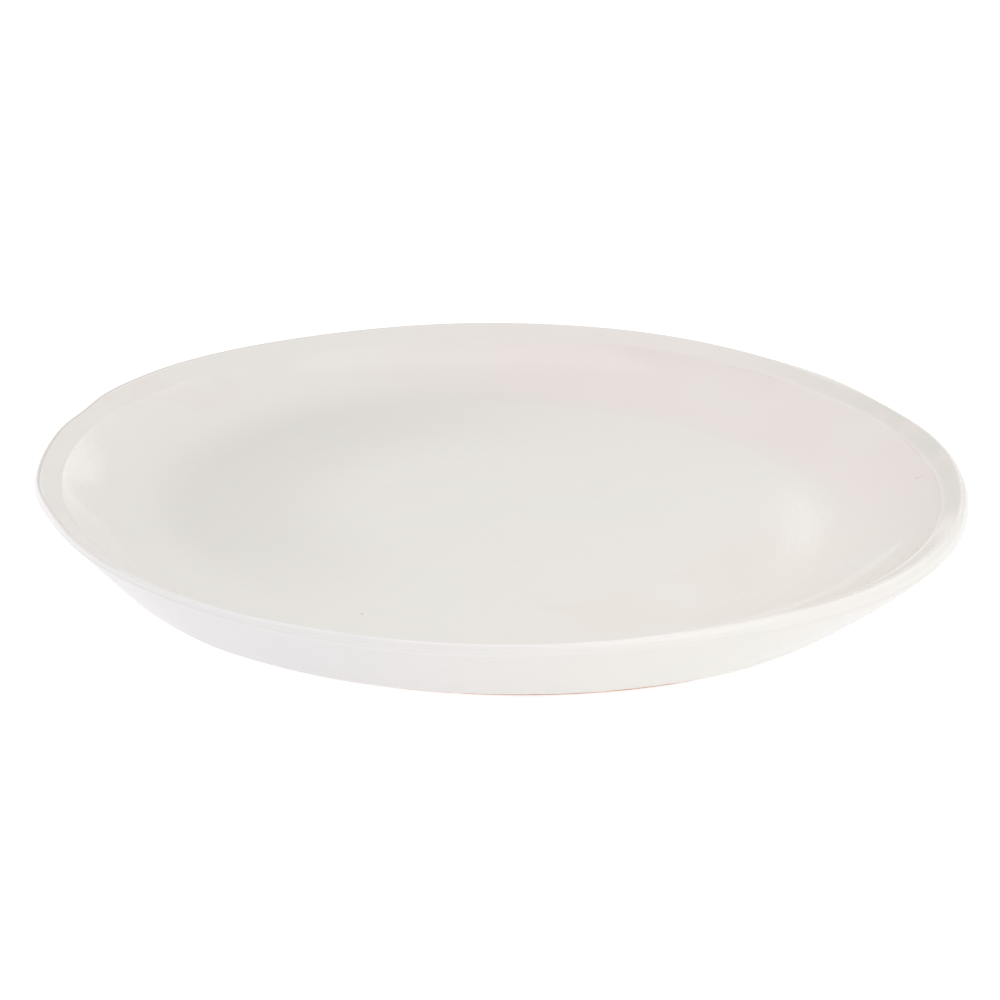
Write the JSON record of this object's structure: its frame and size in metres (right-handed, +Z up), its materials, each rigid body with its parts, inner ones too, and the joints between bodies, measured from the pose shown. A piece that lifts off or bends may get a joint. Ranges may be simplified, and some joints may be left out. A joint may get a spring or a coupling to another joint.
{
  "type": "serving platter",
  "caption": "Large shallow round serving platter with a flared wall, an inward-sloping rim band, a low foot ring and warm white gloss glaze over terracotta clay.",
  "frame": {"origin": "centre of the foot ring, on the surface that the platter stands on", "axes": "+Z up along the axis that the platter is turned about; X and Y lie in the table's plane"},
  "size_m": [0.3799, 0.38, 0.031],
  "materials": {
    "clay": "matte",
    "glaze_inside": "gloss",
    "glaze_outside": "gloss",
    "glaze_underside": "gloss"
  },
  "bodies": {
    "root": {"floor_slab": "clay", "side_wall": "clay", "rim_band": "clay", "foot_ring": "clay", "inside_glaze": "glaze_inside", "outside_glaze": "glaze_outside", "underside_glaze": "glaze_underside"}
  },
  "joints": []
}
